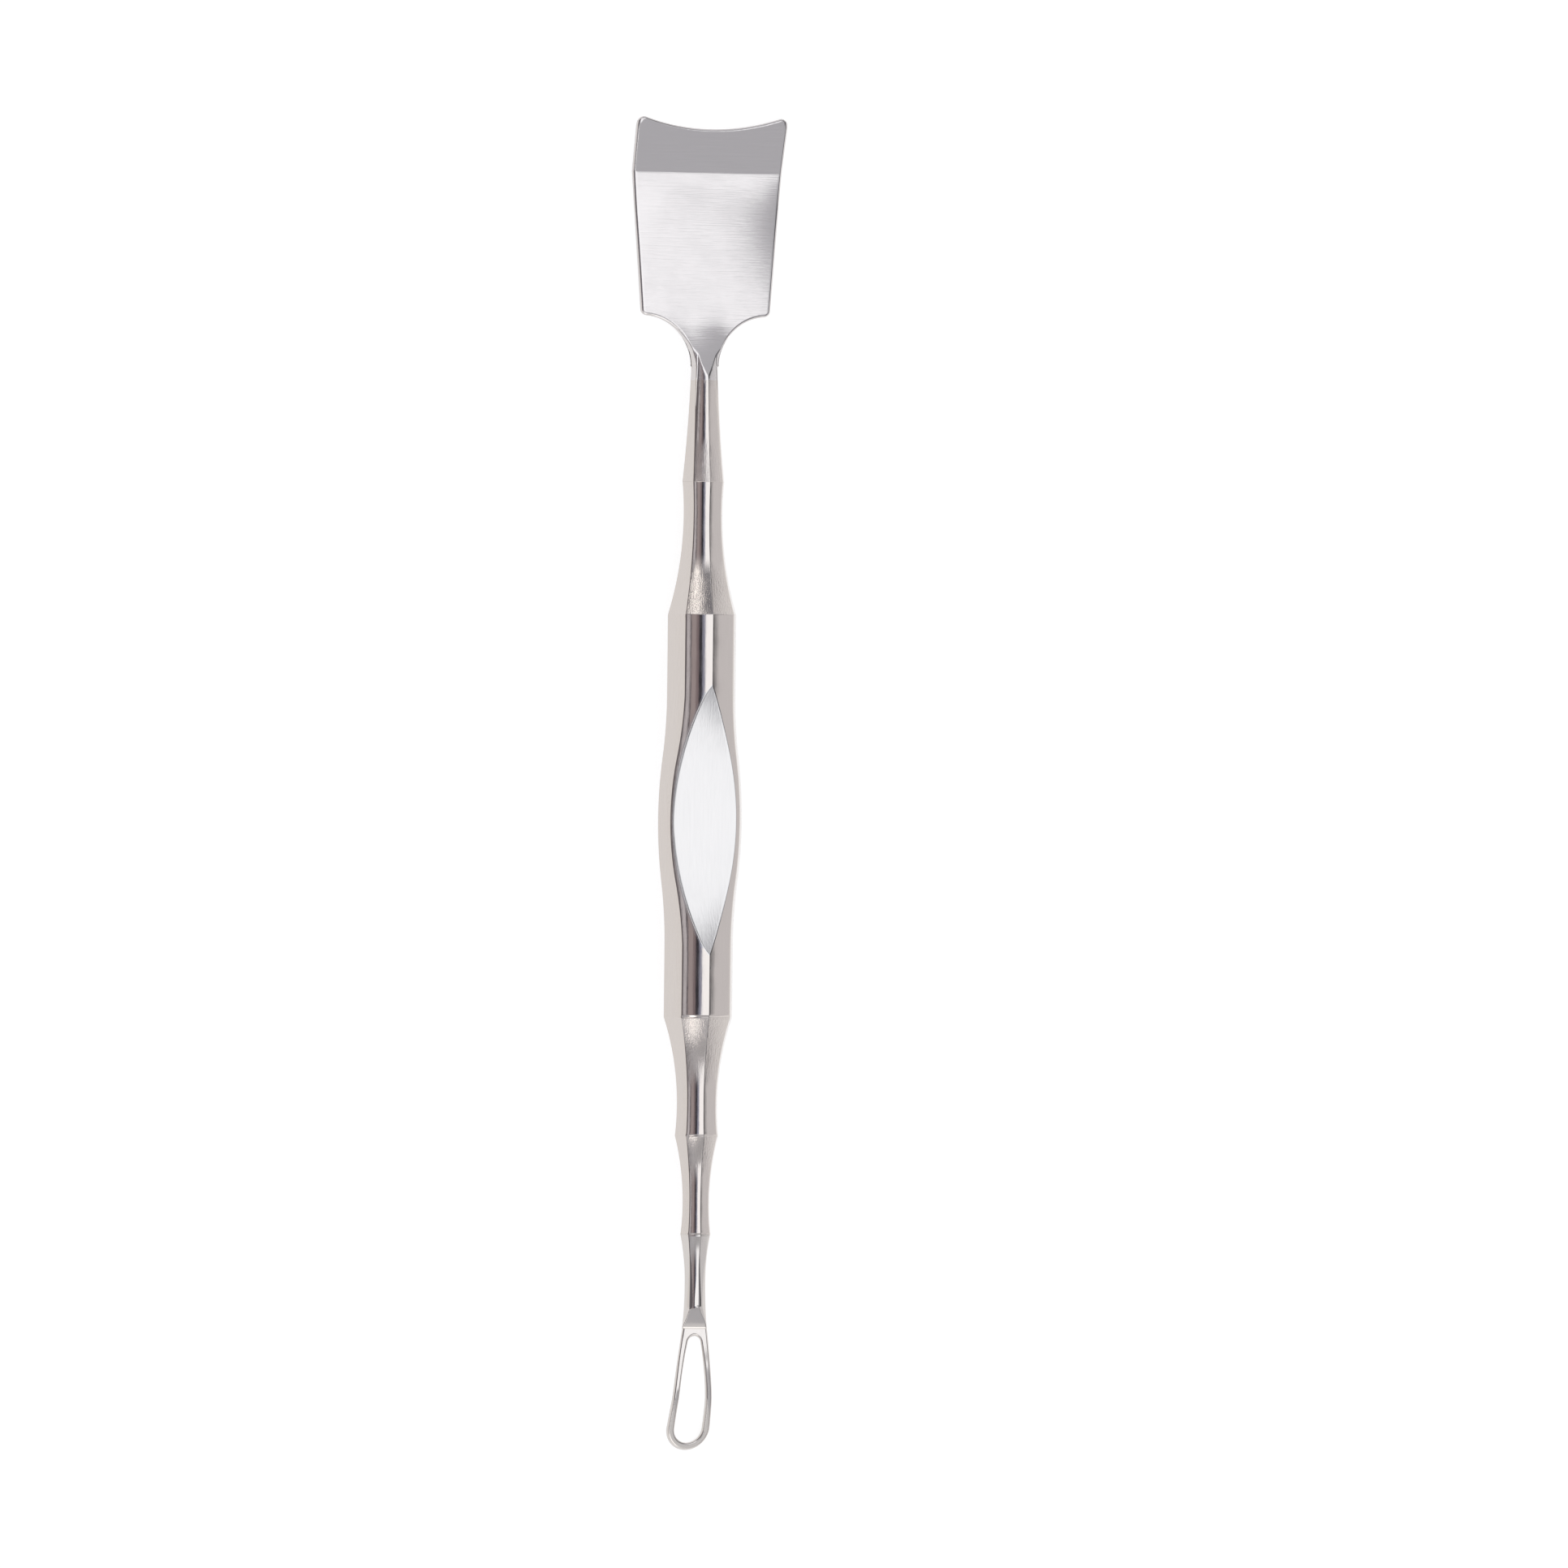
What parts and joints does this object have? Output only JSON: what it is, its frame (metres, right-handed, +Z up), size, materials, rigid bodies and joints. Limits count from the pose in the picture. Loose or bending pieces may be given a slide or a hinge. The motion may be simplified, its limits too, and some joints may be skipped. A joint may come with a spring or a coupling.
{
  "type": "blackhead extractor",
  "caption": "Double-ended stainless skin care tool: a broad spade with a turned-up lip, a fine extractor loop, and an eight-sided scalloped handle with ground thumb scoops.",
  "frame": {"origin": "on the table under the handle's axis, halfway along the tool's length", "axes": "+Y along the tool from the loop to the spade, +Z up off the table the tool lies on, +X to the right seen from above with the spade at the top; the tool rests on one flat of its eight-sided handle, so its front ridge leans 22.5 degrees to +X"},
  "size_m": [0.0155, 0.134, 0.0084],
  "materials": {
    "handle_steel": "stainless steel, polished flats, satin cones and long-grained ground scoops",
    "spade_steel": "stainless steel, faces ground with a grain across the blade",
    "loop_steel": "stainless steel, satin with small ground flats",
    "braze": "silver braze filler, hidden in the sockets"
  },
  "bodies": {
    "root": {"handle": "handle_steel", "spade_blade": "spade_steel", "blade_braze_ring": "braze", "loop_tip": "loop_steel", "loop_braze_ring": "braze"}
  },
  "joints": []
}
